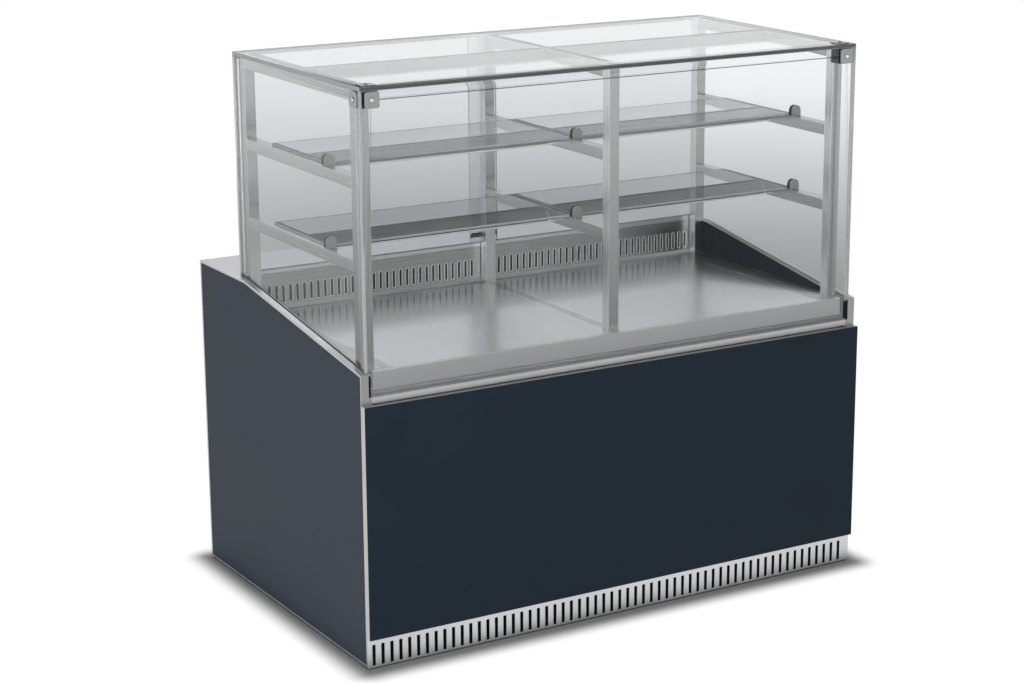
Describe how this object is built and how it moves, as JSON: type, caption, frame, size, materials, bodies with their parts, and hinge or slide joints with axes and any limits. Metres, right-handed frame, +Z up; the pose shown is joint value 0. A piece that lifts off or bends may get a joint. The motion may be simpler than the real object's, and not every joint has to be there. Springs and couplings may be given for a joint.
{
  "type": "refrigerated display case",
  "caption": "Free-standing refrigerated display case: dark base with a slotted kick grille, insulated well, and a square glass box with lit glass shelves and rear sliding doors.",
  "frame": {"origin": "on the floor, under the middle of the whole case", "axes": "+X to the customer's right, +Y towards the operator at the rear, +Z up"},
  "size_m": [1.26, 0.82, 1.2214],
  "materials": {
    "foot": "black nylon",
    "zinc_steel": "zinc-coated steel",
    "dark_panel": "board with a satin slate-blue laminate",
    "dark_front": "satin dark slate coating",
    "satin_trim": "satin anodised",
    "steel": "fine brushed stainless",
    "aluminium": "satin anodised",
    "chrome": "polished",
    "black_plastic": "fine matt",
    "smoked_lens": "smoked gloss",
    "grey_button": "soft matt",
    "green_rocker": "gloss",
    "foam": "foamed board",
    "black_rubber": "matt rubber",
    "clear_glass": "clear polished, toughened",
    "tinted_glass": "faint grey, toughened",
    "diffuser": "opal",
    "black_steel": "black gloss enamel",
    "fins": "bare fins",
    "copper": "bare copper"
  },
  "bodies": {
    "case": {"levelling_feet": "foot", "base_frame": "zinc_steel", "base_pan": "zinc_steel", "well_stand": "zinc_steel", "left_side_panel": "dark_panel", "right_side_panel": "dark_panel", "left_side_trim": "satin_trim", "right_side_trim": "satin_trim", "front_panel": "dark_front", "kick_grille": "satin_trim", "rear_deck": "steel", "rear_upper_panel": "steel", "rear_louvre_panel": "steel", "control_panel": "black_plastic", "display_lens": "smoked_lens", "power_inlet": "black_plastic", "well_liner": "steel", "well_insulation": "foam", "left_floor_tray": "steel", "right_floor_tray": "steel", "tray_supports": "steel", "rear_air_wall": "steel", "front_sill": "steel", "front_rail": "aluminium", "glazing_gaskets": "black_rubber", "front_glass": "clear_glass", "left_side_glass": "clear_glass", "right_side_glass": "clear_glass", "top_glass": "clear_glass", "front_posts": "steel", "rear_posts": "steel", "top_rails": "steel", "upper_shelf_rails": "steel", "lower_shelf_rails": "steel", "light_beams": "aluminium", "light_diffusers": "diffuser", "left_upper_shelf": "clear_glass", "right_upper_shelf": "clear_glass", "left_lower_shelf": "clear_glass", "right_lower_shelf": "clear_glass", "shelf_stops": "aluminium", "corner_brackets": "chrome", "screws": "chrome", "door_frame": "aluminium", "compressor": "black_steel", "condenser_coil": "fins", "condenser_shroud": "zinc_steel", "condenser_fan_motor": "black_steel", "evaporator_coil": "fins", "refrigerant_lines": "copper"},
    "left_door": {"left_rear_door": "tinted_glass", "left_door_pull": "black_plastic"},
    "right_door": {"right_rear_door": "tinted_glass", "right_door_pull": "black_plastic"},
    "up_button": {"button_up": "grey_button"},
    "down_button": {"button_down": "grey_button"},
    "set_button": {"button_set": "grey_button"},
    "rocker": {"power_switch": "green_rocker"},
    "condenser_fan_rotor": {"condenser_fan": "black_plastic"},
    "evaporator_fan_rotor": {"evaporator_fan": "black_plastic"}
  },
  "joints": [
    {"name": "left_door_slide", "type": "slide", "parent": "case", "child": "left_door", "axis": [1, 0, 0], "range_m": [0, 0.565]},
    {"name": "right_door_slide", "type": "slide", "parent": "case", "child": "right_door", "axis": [-1, 0, 0], "range_m": [0, 0.565]},
    {"name": "up_button_press", "type": "slide", "parent": "case", "child": "up_button", "axis": [0, -1, 0], "range_m": [0, 0.0015], "stiffness_N_per_m": 300},
    {"name": "down_button_press", "type": "slide", "parent": "case", "child": "down_button", "axis": [0, -1, 0], "range_m": [0, 0.0015], "stiffness_N_per_m": 300},
    {"name": "set_button_press", "type": "slide", "parent": "case", "child": "set_button", "axis": [0, -1, 0], "range_m": [0, 0.0015], "stiffness_N_per_m": 300},
    {"name": "rocker_tilt", "type": "hinge", "parent": "case", "child": "rocker", "pos_m": [0.461, 0.403, 0.6], "axis": [1, 0, 0], "range_deg": [-14, 0]},
    {"name": "condenser_fan_spin", "type": "hinge", "parent": "case", "child": "condenser_fan_rotor", "pos_m": [0, -0.252, 0.1955], "axis": [0, 1, 0], "continuous": true},
    {"name": "evaporator_fan_spin", "type": "hinge", "parent": "case", "child": "evaporator_fan_rotor", "pos_m": [0, -0.019, 0.547], "axis": [1, 0, 0], "continuous": true}
  ]
}
